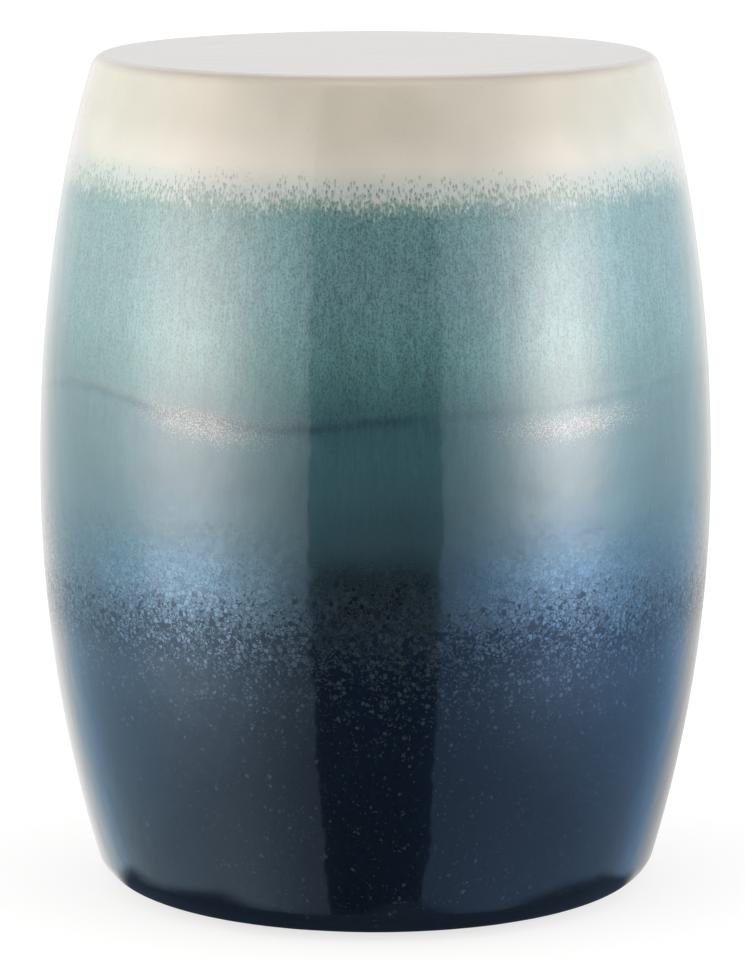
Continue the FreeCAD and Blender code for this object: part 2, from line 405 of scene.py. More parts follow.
@dataclass
class Web:
    """A node tree being filled. Each method adds a node and gives back its output."""

    tree: bpy.types.NodeTree

    def add(self, kind: str, inputs: Mapping[Union[int, str], Feed], **settings: object) -> bpy.types.Node:
        """One node with its settings and inputs.

        Args:
            kind: Blender's name for the node.
            inputs: what feeds each input, by name or number.
            settings: properties of the node.

        Returns:
            The node.
        """
        node = self.tree.nodes.new(kind)
        for name, value in settings.items():
            setattr(node, name, value)
        for key, value in inputs.items():
            if isinstance(value, Socket):
                self.tree.links.new(value, node.inputs[key])
            else:
                node.inputs[key].default_value = value
        return node

    def math(self, operation: str, *values: Feed) -> Socket:
        """A Math node on one, two or three values."""
        return self.add("ShaderNodeMath", dict(enumerate(values)), operation=operation).outputs[0]

    def times(self, *values: Feed) -> Socket:
        """The product of the values."""
        total = values[0]
        for value in values[1:]:
            total = self.math("MULTIPLY", total, value)
        return total

    def plus(self, *values: Feed) -> Socket:
        """The sum of the values."""
        total = values[0]
        for value in values[1:]:
            total = self.math("ADD", total, value)
        return total

    def less(self, value: Feed, taken: Feed) -> Socket:
        """One value less another."""
        return self.math("SUBTRACT", value, taken)

    def ease(self, value: Feed, low: Feed, high: Feed, start: float = 0.0, end: float = 1.0) -> Socket:
        """A smooth step from start to end while the value goes from low to high."""
        inputs = {"Value": value, "From Min": low, "From Max": high, "To Min": start, "To Max": end}
        return self.add("ShaderNodeMapRange", inputs, interpolation_type="SMOOTHSTEP").outputs[0]

    def bell(self, value: Feed, middle: Feed, width: Feed) -> Socket:
        """One at the middle, falling off as exp(-((value - middle) / width) squared)."""
        share = self.math("DIVIDE", self.less(value, middle), width)
        return self.math("EXPONENT", self.times(-1.0, share, share))

    def stretch(self, place: Socket, scale: Sequence[float], offset: Sequence[float] = (0, 0, 0)) -> Socket:
        """The place scaled along each axis, then moved."""
        inputs = {"Vector": place, "Location": offset, "Scale": scale}
        return self.add("ShaderNodeMapping", inputs).outputs[0]

    def noise(self, place: Socket, size: float, detail: float = 2.0, rough: float = 0.5) -> Socket:
        """Soft noise about 0.5, with features of a size in metres."""
        inputs = {"Vector": place, "Scale": 1 / size, "Detail": detail, "Roughness": rough}
        return self.add("ShaderNodeTexNoise", inputs).outputs["Fac"]

    def cells(self, place: Socket, size: float) -> tuple[Socket, Socket]:
        """Scattered cells of a size in metres: distance from the cell's middle, and a random value."""
        node = self.add("ShaderNodeTexVoronoi", {"Vector": place, "Scale": 1 / size}, feature="F1")
        split = self.add("ShaderNodeSeparateColor", {0: node.outputs["Color"]})
        return node.outputs["Distance"], split.outputs[0]

    def islands(self, place: Socket, size: float) -> tuple[Socket, Socket, Socket, Socket]:
        """Packed cells of a size in metres: distance from the cell's edge, and three random values."""
        inputs = {"Vector": place, "Scale": 1 / size}
        edge = self.add("ShaderNodeTexVoronoi", inputs, feature="DISTANCE_TO_EDGE").outputs["Distance"]
        node = self.add("ShaderNodeTexVoronoi", inputs, feature="F1")
        split = self.add("ShaderNodeSeparateColor", {0: node.outputs["Color"]})
        return edge, split.outputs[0], split.outputs[1], split.outputs[2]

    def crumple(self, place: Socket, size: float, reach: float) -> Socket:
        """The place moved about by soft noise of a size, by up to about half the reach in metres."""
        node = self.add("ShaderNodeTexNoise", {"Vector": place, "Scale": 1 / size, "Detail": 1.0})
        halves = {0: node.outputs["Color"], 1: (0.5, 0.5, 0.5)}
        centred = self.add("ShaderNodeVectorMath", halves, operation="SUBTRACT")
        inputs = {0: centred.outputs[0], 1: (reach, reach, reach), 2: place}
        return self.add("ShaderNodeVectorMath", inputs, operation="MULTIPLY_ADD").outputs[0]

    def mix(self, share: Feed, first: Feed, second: Feed, blend: str = "MIX") -> Socket:
        """A colour between two colours."""
        inputs = {0: share, 6: rgba(first), 7: rgba(second)}
        return self.add("ShaderNodeMix", inputs, data_type="RGBA", blend_type=blend).outputs[2]

    def ramp(self, value: Feed, stops: Sequence[tuple[float, Sequence[float]]]) -> Socket:
        """A colour ramp through named stops, each a position from 0 to 1 and a colour."""
        node = self.add("ShaderNodeValToRGB", {0: value})
        band = node.color_ramp
        while len(band.elements) < len(stops):
            band.elements.new(0.5)
        for element, (position, colour) in zip(band.elements, sorted(stops)):
            element.position = position
            element.color = rgba(colour)
        return node.outputs[0]

    def group(self, tree: bpy.types.NodeTree, **inputs: Feed) -> Mapping[str, Socket]:
        """A shared effect placed in this tree. Input names use spaces for underscores."""
        node = self.add("ShaderNodeGroup", {}, node_tree=tree)
        for name, value in inputs.items():
            key = name.replace("_", " ")
            if isinstance(value, Socket):
                self.tree.links.new(value, node.inputs[key])
            else:
                node.inputs[key].default_value = value
        return node.outputs


def rgba(colour: Feed) -> Feed:
    """A colour with its fourth number, or the socket as it is."""
    if isinstance(colour, Socket) or isinstance(colour, float):
        return colour
    return (*colour[:3], 1.0)


class Kind(Enum):
    """Kinds of socket that a shared effect takes and gives."""

    VALUE = "NodeSocketFloat"
    PLACE = "NodeSocketVector"
    COLOUR = "NodeSocketColor"


def shared_effect(
    name: str,
    takes: Mapping[str, tuple[Kind, Union[float, Sequence[float], None]]],
    gives: Mapping[str, Kind],
    build: Callable[[Web, Mapping[str, Socket]], Mapping[str, Socket]],
) -> bpy.types.NodeTree:
    """A shader node group with named inputs and outputs.

    Args:
        name: name of the effect.
        takes: each input's kind and default.
        gives: each output's kind.
        build: fills the group and returns what feeds each output.

    Returns:
        The node group.
    """
    tree = bpy.data.node_groups.new(name, "ShaderNodeTree")
    for label, (kind, default) in takes.items():
        socket = tree.interface.new_socket(label, in_out="INPUT", socket_type=kind.value)
        if default is not None:
            socket.default_value = rgba(default) if kind is Kind.COLOUR else default
    for label, kind in gives.items():
        tree.interface.new_socket(label, in_out="OUTPUT", socket_type=kind.value)
    web = Web(tree)
    entry = web.add("NodeGroupInput", {})
    made = build(web, entry.outputs)
    web.add("NodeGroupOutput", made)
    return tree


# Effects that several finishes share

def build_glaze_place(web: Web, given: Mapping[str, Socket]) -> Mapping[str, Socket]:
    """Height in millimetres, and how far above the run line a point lies, in millimetres.

    The line's height is its level plus its sway times a sum of cosines of the turn, with a small
    ragged wander from noise.
    """
    parts = web.add("ShaderNodeSeparateXYZ", {0: given["Place"]})
    height = web.times(parts.outputs["Z"], 1000.0)
    turn = web.math("ARCTAN2", parts.outputs["X"], web.times(parts.outputs["Y"], -1.0))
    terms = [
        web.times(share * RUN.sway, web.math("COSINE", web.less(web.times(turn, float(turns)), start)))
        for turns, share, start in RUN.waves
    ]
    line = web.plus(RUN.level, *terms)
    ragged = web.times(web.less(web.noise(given["Place"], 13 * MM, 3.0), 0.5), 5.5)
    return {"Height": height, "Turn": turn, "Above Run": web.less(height, web.plus(line, ragged))}


def build_streaks(web: Web, given: Mapping[str, Socket]) -> Mapping[str, Socket]:
    """Fine upright streaks where glaze has run: noise drawn out along Z, about nought."""
    fine = web.noise(web.stretch(given["Place"], (1, 1, 0.11)), 1.3 * MM, 2.0, 0.6)
    broad = web.noise(web.stretch(given["Place"], (1, 1, 0.07)), 7 * MM, 2.0, 0.5)
    both = web.plus(web.times(web.less(fine, 0.5), 0.8), web.times(web.less(broad, 0.5), 0.45))
    return {"Streak": web.times(both, given["Strength"])}


def build_pits(web: Web, given: Mapping[str, Socket]) -> Mapping[str, Socket]:
    """Pinholes and dark grain: small cells of which a share is dark, and the low parts of fine noise."""
    place = given["Place"]
    distance, chance = web.cells(web.stretch(place, (1, 1, 0.7)), 1.3 * MM)
    there = web.ease(web.less(given["Density"], chance), -0.04, 0.04)
    grain = web.noise(web.stretch(place, (1, 1, 0.6)), 0.8 * MM, 1.0, 0.6)
    return {"Pit": web.times(there, web.ease(distance, 0.5, 0.22)), "Grain": web.ease(grain, 0.50, 0.38)}


def build_drips(web: Web, given: Mapping[str, Socket]) -> Mapping[str, Socket]:
    """The ragged upper edge of the teal: upright noise plus a slope in height, cut at a level.

    Above the edge stand separate drops, each a green body with a dark head, fewer with height.
    """
    height, place = given["Height"], given["Place"]
    upright = web.noise(web.stretch(place, (1, 1, 0.3)), 1.25 * MM, 2.5, 0.62)
    wide = web.noise(place, 26 * MM, 1.0)
    level = web.plus(given["Level"], web.times(web.less(wide, 0.5), 9.0))
    rise = web.math("DIVIDE", web.less(level, height), given["Spread"])
    edge = web.ease(web.plus(web.times(web.less(upright, 0.5), 2.8), rise), -0.45, 0.5)
    drawn = web.stretch(place, (1, 1, 0.42))
    size = 1.4 * MM
    drop = web.add("ShaderNodeTexVoronoi", {"Vector": drawn, "Scale": 1 / size}, feature="F1")
    chance = web.add("ShaderNodeSeparateColor", {0: drop.outputs["Color"]}).outputs[0]
    offset = web.add("ShaderNodeVectorMath", {0: drawn, 1: drop.outputs["Position"]}, operation="SUBTRACT")
    up = web.math("DIVIDE", web.add("ShaderNodeSeparateXYZ", {0: offset.outputs[0]}).outputs["Z"], size)
    there = web.ease(web.less(web.ease(web.less(height, level), 20.0, 0.0), chance), -0.03, 0.15)
    body = web.times(there, web.ease(drop.outputs["Distance"], 0.62, 0.2))
    return {"Edge": edge, "Body": body, "Head": web.times(body, web.ease(up, -0.02, 0.2))}


def build_curds(web: Web, given: Mapping[str, Socket]) -> Mapping[str, Socket]:
    """Curdled remnants of the upper glaze: packed cells of two sizes, each kept by chance.

    A big cell is either whole or broken up into little ones. With full cover nothing is open. As
    the cover falls, seams open between the cells and widen, and cells drop out, until a few
    specks are left.
    """
    cover = given["Cover"]
    bent = web.crumple(given["Place"], 2.2 * MM, 1.0 * MM)
    seam = web.ease(cover, 0.1, 1.0, 0.1, -0.06)
    chances = web.times(cover, 1.3)
    big, luck, tone, choice = web.islands(bent, 2.4 * MM)
    held = web.ease(web.less(chances, luck), -0.1, 0.05)
    strong = web.ease(web.plus(tone, cover), 0.2, 1.6, 0.4, 1.0)
    large = web.times(web.ease(big, seam, web.plus(seam, 0.1)), held, strong)
    little, chance, shade, _ = web.islands(web.stretch(bent, (1, 1, 1), (0.3, 0.1, 0.2)), 1.15 * MM)
    kept = web.ease(web.less(chances, chance), -0.1, 0.05)
    firm = web.ease(web.plus(shade, cover), 0.2, 1.3, 0.35, 1.0)
    small = web.times(web.ease(little, seam, web.plus(seam, 0.14)), kept, firm)
    whole = web.ease(choice, 0.5, 0.54)
    both = web.plus(web.times(large, whole), web.times(small, web.less(1.0, whole)))
    apart, fortune = web.cells(given["Place"], 2.4 * MM)
    few = web.ease(web.less(given["Specks"], fortune), -0.01, 0.01)
    specks = web.times(web.ease(apart, 0.26, 0.08, 0.0, 0.7), few)
    full = web.ease(cover, 0.86, 1.0)
    return {"Curd": web.math("MAXIMUM", web.math("MAXIMUM", both, specks), full)}


def build_crystals(web: Web, given: Mapping[str, Socket]) -> Mapping[str, Socket]:
    """Tiny pearly crystals, which in front are partly painted glints, and rusty dots: the high and low parts
    of two fine noises.
    """
    share = web.times(given["Gathered"], 0.2)
    fine = web.noise(given["Place"], 0.62 * MM, 1.0)
    pearl_and_glint = web.ease(web.plus(fine, share), 0.64, 0.82)
    other = web.noise(web.stretch(given["Place"], (1, 1, 1), (0.2, 0.3, 0.1)), 0.8 * MM, 1.0)
    rust = web.ease(web.plus(other, share), 0.70, 0.82)
    return {"Pearl Glint": web.times(pearl_and_glint, given["Gathered"]), "Rust": rust}


def build_clay(web: Web, given: Mapping[str, Socket]) -> Mapping[str, Socket]:
    """Fired stoneware: a mottled buff body with dark and pale grog, and its grain as a height."""
    cloud = web.noise(given["Place"], 30 * MM, 3.0)
    grain = web.noise(given["Place"], 0.7 * MM, 4.0, 0.7)
    distance, chance = web.cells(given["Place"], 2.2 * MM)
    grog = web.times(web.ease(distance, 0.3, 0.15), web.ease(chance, 0.8, 0.84))
    ground = web.mix(web.ease(cloud, 0.3, 0.7), given["Pale"], given["Dark"])
    speckled = web.mix(web.times(grog, 0.75), ground, (0.12, 0.085, 0.06))
    fired = web.mix(web.ease(grain, 0.35, 0.7, 0.0, 0.35), speckled, given["Dark"])
    return {"Colour": fired, "Grain": web.plus(grain, web.times(grog, 0.5))}


PLACE_IN = ("Place", (Kind.PLACE, None))
GLAZE_PLACE = shared_effect(
    "glaze place",
    dict([PLACE_IN]),
    {"Height": Kind.VALUE, "Turn": Kind.VALUE, "Above Run": Kind.VALUE},
    build_glaze_place,
)
STREAKS = shared_effect(
    "upright streaks",
    dict([PLACE_IN, ("Strength", (Kind.VALUE, 1.0))]),
    {"Streak": Kind.VALUE},
    build_streaks,
)
PITS = shared_effect(
    "dark pits",
    dict([PLACE_IN, ("Density", (Kind.VALUE, 0.2))]),
    {"Pit": Kind.VALUE, "Grain": Kind.VALUE},
    build_pits,
)
DRIPS = shared_effect(
    "drip fringe",
    dict([
        PLACE_IN,
        ("Height", (Kind.VALUE, 0.0)),
        ("Level", (Kind.VALUE, 392.0)),
        ("Spread", (Kind.VALUE, 14.0)),
    ]),
    {"Edge": Kind.VALUE, "Body": Kind.VALUE, "Head": Kind.VALUE},
    build_drips,
)
CURDS = shared_effect(
    "curdled remnants",
    dict([PLACE_IN, ("Cover", (Kind.VALUE, 0.5)), ("Specks", (Kind.VALUE, 0.03))]),
    {"Curd": Kind.VALUE},
    build_curds,
)
CRYSTALS = shared_effect(
    "pearly crystals",
    dict([PLACE_IN, ("Gathered", (Kind.VALUE, 0.5))]),
    {"Pearl Glint": Kind.VALUE, "Rust": Kind.VALUE},
    build_crystals,
)
CLAY = shared_effect(
    "stoneware",
    dict([PLACE_IN, ("Pale", (Kind.COLOUR, (0.6, 0.5, 0.4))), ("Dark", (Kind.COLOUR, (0.4, 0.32, 0.25)))]),
    {"Colour": Kind.COLOUR, "Grain": Kind.VALUE},
    build_clay,
)


# Finishes

CREAM: Colour = (0.490, 0.451, 0.382)
PALE_CREAM: Colour = (0.528, 0.490, 0.428)
SEAT_CREAM: Colour = (0.475, 0.442, 0.400)
# paler seat colour of the painted reflection streaks
SEAT_REFLECTION_STREAK: Colour = (0.525, 0.495, 0.455)
RIM_BROWN: Colour = (0.36, 0.31, 0.25)
MIST: Colour = (0.462, 0.480, 0.448)
VIOLET_GREY: Colour = (0.225, 0.24, 0.25)
GREEN_DROP: Colour = (0.148, 0.248, 0.210)
DROP_HEAD: Colour = (0.075, 0.12, 0.13)
SEA_GREEN: Colour = (0.117, 0.222, 0.232)
TEAL: Colour = (0.110, 0.205, 0.226)
MID_TEAL: Colour = (0.091, 0.193, 0.203)
DEEP_TEAL: Colour = (0.055, 0.132, 0.139)
LAKE: Colour = (0.033, 0.084, 0.103)
INK_TEAL: Colour = (0.026, 0.066, 0.083)
GRAIN: Colour = (0.022, 0.052, 0.064)
CURD: Colour = (0.034, 0.076, 0.096)
LOW_CURD: Colour = (0.078, 0.105, 0.125)
SLATE: Colour = (0.008, 0.022, 0.036)
NAVY: Colour = (0.0034, 0.0085, 0.019)
MIDNIGHT: Colour = (0.0036, 0.0082, 0.0165)
# pale crystal colour, partly a painted glint where the front patches meet the highlights
PEARL_AND_GLINT: Colour = (0.36, 0.33, 0.30)
RUST: Colour = (0.15, 0.12, 0.11)

FULL_HEIGHT = 457.0
TEAL_TONES: tuple[tuple[float, Colour], ...] = (
    (225, INK_TEAL),
    (262, LAKE),
    (280, LAKE),
    (300, DEEP_TEAL),
    (322, MID_TEAL),
    (350, TEAL),
    (382, SEA_GREEN),
)
NAVY_TONES: tuple[tuple[float, Colour], ...] = ((60, MIDNIGHT), (145, NAVY), (235, SLATE))
DROP_FADE = (414.0, 397.0)          # heights between which the drops of the fringe come in
# Patches round the drum: turn of the middle in degrees, half width, strength
Patches = Sequence[tuple[float, float, float]]
# crystal patches; the two in front sit under the screens' highlights and are partly painted glints
CRYSTAL_PATCHES: Patches = ((-30, 15, 1.0), (36, 17, 1.0), (112, 17, 0.8), (-146, 21, 0.9))
FAINT_STRETCHES: Patches = ((42, 34, 0.9), (170, 30, 0.7))


def by_height(tones: Sequence[tuple[float, Colour]]) -> list[tuple[float, Colour]]:
    """Stops of a ramp over the whole height, from tones at heights in millimetres."""
    return [(level / FULL_HEIGHT, colour) for level, colour in tones]


@dataclass(frozen=True)
class Gloss:
    """Numbers of the clear top of a glaze, the same all over it."""

    roughness: float = 0.2          # of the milky layer under the top
    level: float = 0.2
    coat_roughness: float = 0.045
    coat_ior: float = 1.5

    def dress(self, shader: bpy.types.Node) -> None:
        """Sets the shader's own sockets."""
        shader.inputs["Roughness"].default_value = self.roughness
        shader.inputs["Specular IOR Level"].default_value = self.level
        shader.inputs["Coat Weight"].default_value = 1.0
        shader.inputs["Coat Roughness"].default_value = self.coat_roughness
        shader.inputs["Coat IOR"].default_value = self.coat_ior


def new_material(name: str) -> tuple[bpy.types.Material, Web, bpy.types.Node, Socket]:
    """A material with a principled shader and object coordinates.

    Args:
        name: the material's name.

    Returns:
        The material, its web, its shader and the place socket.
    """
    material = bpy.data.materials.new(name)
    material.use_nodes = True
    material.node_tree.nodes.clear()
    web = Web(material.node_tree)
    shader = web.add("ShaderNodeBsdfPrincipled", {})
    web.add("ShaderNodeOutputMaterial", {"Surface": shader.outputs[0]})
    place = web.add("ShaderNodeTexCoord", {}).outputs["Object"]
    return material, web, shader, place


@dataclass(frozen=True)
class Spot:
    """Where a point of the glaze lies, as sockets that each step of the look reads."""

    place: Socket
    height: Socket      # millimetres above the floor
    cloud: Socket       # soft wander about nought
    cloudy: Socket      # the height with that wander, so that the tones don't lie level
    turn: Socket        # radians about the axis, nought towards the viewer
    above: Socket       # millimetres above the run line


@dataclass(frozen=True)
class ReactiveGlaze:
    """The look of the run glazes, continuous from coat to coat.

    Each coat has its own material, but the effects are placed by height, so that a pattern that
    crosses from one coat to the next doesn't break. Heights are in millimetres.
    """

    name: str
    gloss: Gloss = field(default_factory=Gloss)
    curds_end: float = 92.0         # below this only specks are left of the upper glaze
    curds_full: float = 245.0       # above this it is whole
    fringe_level: float = 391.5     # at the sides of the stool
    fringe_lift: float = 2.5        # how much higher the fringe stands in front
    fringe_spread: float = 14.0

    def material(self) -> bpy.types.Material:
        """Builds this coat's material, from the ground colour up to the rim."""
        material, web, shader, place = new_material(self.name)
        spot = self.spot(web, place)
        cover = web.ease(spot.cloudy, self.curds_end, self.curds_full)
        specks = web.times(0.07, web.ease(spot.height, 240.0, 190.0))
        curd = web.group(CURDS, Place=place, Cover=cover, Specks=specks)["Curd"]
        pits = web.group(PITS, Place=place, Density=web.ease(spot.above, -5.0, 4.0, 0.04, 0.3))
        pit = web.times(pits["Pit"], web.ease(spot.height, 400.0, 390.0))
        colour = self.grainy(web, spot, self.ground(web, spot, curd), pits["Grain"], pit)
        colour = self.fringe(web, spot, colour)
        colour = self.streaked(web, spot, colour)
        colour = self.lined(web, spot, colour)
        colour = self.pearly(web, spot, colour)
        colour = self.rimmed(web, spot, colour)
        metal = self.shine(web, spot, curd)
        self.join(web, shader, colour, metal, self.clear_top(web, spot, curd, cover), pit)
        return material

    def spot(self, web: Web, place: Socket) -> Spot:
        """Works out where a point lies on the stool."""
        where = web.group(GLAZE_PLACE, Place=place)
        cloud = web.less(web.noise(place, 55 * MM, 2.0), 0.5)
        cloudy = web.plus(where["Height"], web.times(cloud, 16.0))
        return Spot(place, where["Height"], cloud, cloudy, where["Turn"], where["Above Run"])

    def ground(self, web: Web, spot: Spot, curd: Socket) -> Socket:
        """Teal above, and navy where the teal thins out into curdled remnants."""
        share = web.math("DIVIDE", spot.cloudy, FULL_HEIGHT)
        teal = web.ramp(share, by_height(TEAL_TONES))
        navy = web.ramp(share, by_height(NAVY_TONES))
        curds = web.mix(web.ease(spot.height, 225.0, 160.0), CURD, LOW_CURD)
        return web.mix(curd, navy, web.mix(web.ease(spot.height, 262.0, 225.0), teal, curds))

    def grainy(self, web: Web, spot: Spot, colour: Socket, grain: Socket, pit: Socket) -> Socket:
        """Adds dark grain and pits to the teal, thick just above the run line."""
        strength = web.ease(spot.above, -12.0, 6.0, 0.2, 0.5)
        grained = web.times(grain, strength, web.ease(spot.height, 225.0, 260.0))
        return web.mix(web.math("MAXIMUM", grained, web.times(pit, 0.5)), colour, GRAIN)

    def fringe(self, web: Web, spot: Spot, colour: Socket) -> Socket:
        """Lays cream over the top, running down into the teal in a fringe of drops."""
        height = spot.height
        level = web.plus(self.fringe_level, web.times(self.fringe_lift, web.math("COSINE", spot.turn)))
        drips = web.group(DRIPS, Place=spot.place, Height=height, Level=level, Spread=self.fringe_spread)
        cream = web.mix(web.ease(height, 434.0, 414.0), CREAM, PALE_CREAM)
        misty = web.mix(web.ease(height, 415.0, 400.0), cream, MIST)
        washed = web.mix(web.ease(height, 413.0, 396.0, 0.0, 0.25), misty, VIOLET_GREY)
        drops = web.times(drips["Body"], web.ease(height, *DROP_FADE, 0.12, 0.75))
        dropped = web.mix(drops, washed, GREEN_DROP)
        upper = web.mix(drips["Edge"], dropped, web.mix(web.ease(height, 400.0, 384.0), GREEN_DROP, colour))
        heads = web.times(drips["Head"], web.ease(height, *DROP_FADE, 0.2, 0.7))
        heads = web.times(heads, web.ease(height, 376.0, 388.0))
        return web.mix(heads, upper, DROP_HEAD)

    def streaked(self, web: Web, spot: Spot, colour: Socket) -> Socket:
        """Streaks the glaze under the fringe and down both teals."""
        below = web.ease(spot.height, 404.0, 386.0)
        reach = web.times(below, web.ease(spot.height, 235.0, 340.0, 0.3, 1.0))
        streak = web.group(STREAKS, Place=spot.place, Strength=reach)["Streak"]
        shade = web.plus(1.0, web.times(streak, 1.1), web.times(spot.cloud, 0.4))
        shades = web.add("ShaderNodeCombineColor", {0: shade, 1: shade, 2: shade}).outputs[0]
        return web.mix(1.0, colour, shades, "MULTIPLY")

    def lined(self, web: Web, spot: Spot, colour: Socket) -> Socket:
        """Draws the run line, soft and dark, fainter on some stretches."""
        patchy = web.ease(web.noise(spot.place, 24 * MM, 1.0), 0.3, 0.6, 0.4, 0.95)
        faint = self.round_patches(web, spot.turn, FAINT_STRETCHES)
        line = web.times(web.bell(spot.above, -0.8, 3.0), patchy, web.less(1.0, faint))
        return web.mix(web.times(line, 0.5), colour, SLATE)

    def pearly(self, web: Web, spot: Spot, colour: Socket) -> Socket:
        """Adds pearly crystals and rusty dots in patches below the run line, lower on the right. The two
        front patches lie where the highlights fall, so their pale crystals are partly painted glints.
        """
        middle = web.ease(spot.turn, 0.0, 0.5, -4.0, -13.0)
        patches = self.round_patches(web, spot.turn, CRYSTAL_PATCHES)
        gathered = web.times(patches, web.bell(spot.above, middle, 11.0))
        crystal = web.group(CRYSTALS, Place=spot.place, Gathered=gathered)
        rusty = web.mix(web.times(crystal["Rust"], 0.5), colour, RUST)
        return web.mix(web.times(crystal["Pearl Glint"], 0.8), rusty, PEARL_AND_GLINT)

    def rimmed(self, web: Web, spot: Spot, colour: Socket) -> Socket:
        """Lays the greyer seat with paler streaks along X, a painted reflection of the lights behind, and a
        brown line on the rim round just under the seat's edge.
        """
        # a brown band on the rim round, just under the seat's edge
        rim_band_share = web.bell(spot.height, FULL_HEIGHT - 1.3, 1.4)
        flat = web.ease(spot.height, FULL_HEIGHT - 1.2, FULL_HEIGHT - 0.3)
        brown = web.mix(web.times(rim_band_share, 0.6), colour, RIM_BROWN)
        # painted reflection: paler streaks drawn out along X stand in for the lights behind mirrored in the
        # seat
        painted_reflection_streaks = web.ease(web.noise(web.stretch(spot.place, (0.22, 1, 1)), 16 * MM, 2.0), 0.45, 0.7)
        return web.mix(flat, brown, web.mix(painted_reflection_streaks, SEAT_CREAM, SEAT_REFLECTION_STREAK))

    def shine(self, web: Web, spot: Spot, curd: Socket) -> Socket:
        """How much of the light a point throws back like metal: the teals a little, low curds a lot."""
        gleam = web.ease(spot.height, 398.0, 380.0, 0.0, 0.1)
        high = web.ease(spot.height, 258.0, 225.0, 0.0, 0.3)
        low = web.ease(spot.height, 225.0, 195.0, 0.0, 0.62)
        return web.math("MAXIMUM", gleam, web.times(web.plus(high, low), curd))

    def clear_top(self, web: Web, spot: Spot, curd: Socket, cover: Socket) -> Socket:
        """How much of the clear top is left: less in the seams between curds."""
        seams = web.times(web.less(1.0, curd), web.ease(cover, 0.2, 0.5), web.ease(spot.height, 262.0, 245.0))
        return web.less(1.0, web.times(seams, 0.55))

    def round_patches(self, web: Web, turn: Socket, patches: Patches) -> Socket:
        """Bells of the turn about the axis, added up: middle and half width in degrees, strength."""
        total: Feed = 0.0
        for middle, width, strength in patches:
            off = web.math("WRAP", web.less(turn, radians(middle)), pi, -pi)
            total = web.plus(total, web.times(strength, web.bell(off, 0.0, radians(width))))
        return total

    def join(
        self, web: Web, shader: bpy.types.Node, colour: Socket, metal: Socket, coat: Socket, pit: Socket
    ) -> None:
        """Feeds the shader its colour, the shine of the curds, the clear top and the relief of the pits."""
        links = web.tree.links
        self.gloss.dress(shader)
        links.new(colour, shader.inputs["Base Color"])
        links.new(metal, shader.inputs["Metallic"])
        links.new(coat, shader.inputs["Coat Weight"])
        hollow = web.times(pit, -1.0)
        bump = web.add("ShaderNodeBump", {"Strength": 0.15, "Distance": 0.15 * MM, "Height": hollow})
        links.new(bump.outputs[0], shader.inputs["Normal"])


@dataclass(frozen=True)
class BareStoneware:
    """Unglazed fired clay inside the drum and on the foot ring."""

    name: str = "bare_stoneware"
    pale: Colour = (0.60, 0.52, 0.43)
    dark: Colour = (0.47, 0.39, 0.31)

    def material(self) -> bpy.types.Material:
        """Builds the clay material."""
        material, web, shader, place = new_material(self.name)
        clay = web.group(CLAY, Place=place, Pale=rgba(self.pale), Dark=rgba(self.dark))
        web.tree.links.new(clay["Colour"], shader.inputs["Base Color"])
        shader.inputs["Roughness"].default_value = 0.88
        bump = web.add("ShaderNodeBump", {"Strength": 0.5, "Distance": 0.3 * MM, "Height": clay["Grain"]})
        web.tree.links.new(bump.outputs[0], shader.inputs["Normal"])
        return material


@dataclass(frozen=True)
class PadRubber:
    """Dark moulded rubber with a fine matt grain and a little dust."""

    name: str = "pad_rubber"
    fresh: Colour = (0.035, 0.035, 0.036)
    dusty: Colour = (0.12, 0.115, 0.105)

    def material(self) -> bpy.types.Material:
        """Builds the rubber material."""
        material, web, shader, place = new_material(self.name)
        dust = web.ease(web.noise(place, 6 * MM, 4.0, 0.6), 0.45, 0.75, 0.0, 0.7)
        web.tree.links.new(web.mix(dust, self.fresh, self.dusty), shader.inputs["Base Color"])
        shader.inputs["Roughness"].default_value = 0.62
        grain = web.noise(place, 0.35 * MM, 2.0)
        bump = web.add("ShaderNodeBump", {"Strength": 0.3, "Distance": 0.1 * MM, "Height": grain})
        web.tree.links.new(bump.outputs[0], shader.inputs["Normal"])
        return material


@dataclass(frozen=True)
class TapeAdhesive:
    """A pale foam disc with sticky faces."""

    name: str = "tape_adhesive"
    foam: Colour = (0.66, 0.64, 0.58)
    grubby: Colour = (0.42, 0.40, 0.36)

    def material(self) -> bpy.types.Material:
        """Builds the adhesive material."""
        material, web, shader, place = new_material(self.name)
        grime = web.ease(web.noise(place, 4 * MM, 3.0), 0.45, 0.75)
        web.tree.links.new(web.mix(grime, self.foam, self.grubby), shader.inputs["Base Color"])
        shader.inputs["Roughness"].default_value = 0.5
        foam = web.noise(place, 0.25 * MM, 2.0)
        bump = web.add("ShaderNodeBump", {"Strength": 0.4, "Distance": 0.05 * MM, "Height": foam})
        web.tree.links.new(bump.outputs[0], shader.inputs["Normal"])
        return material


# The pieces

def seat(thing: bpy.types.Object, slot: str, *nodes: str) -> None:
    """Puts a finished piece on the body, in place of its nodes, and reports it.

    Args:
        thing: the piece.
        slot: the record's material slot; not used.
        nodes: the nodes that the piece stands for.
    """
    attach(thing, BODY)
    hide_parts(*nodes)
    log.info("%s: %d faces, in place of %s", thing.name, len(thing.data.polygons), ", ".join(nodes))


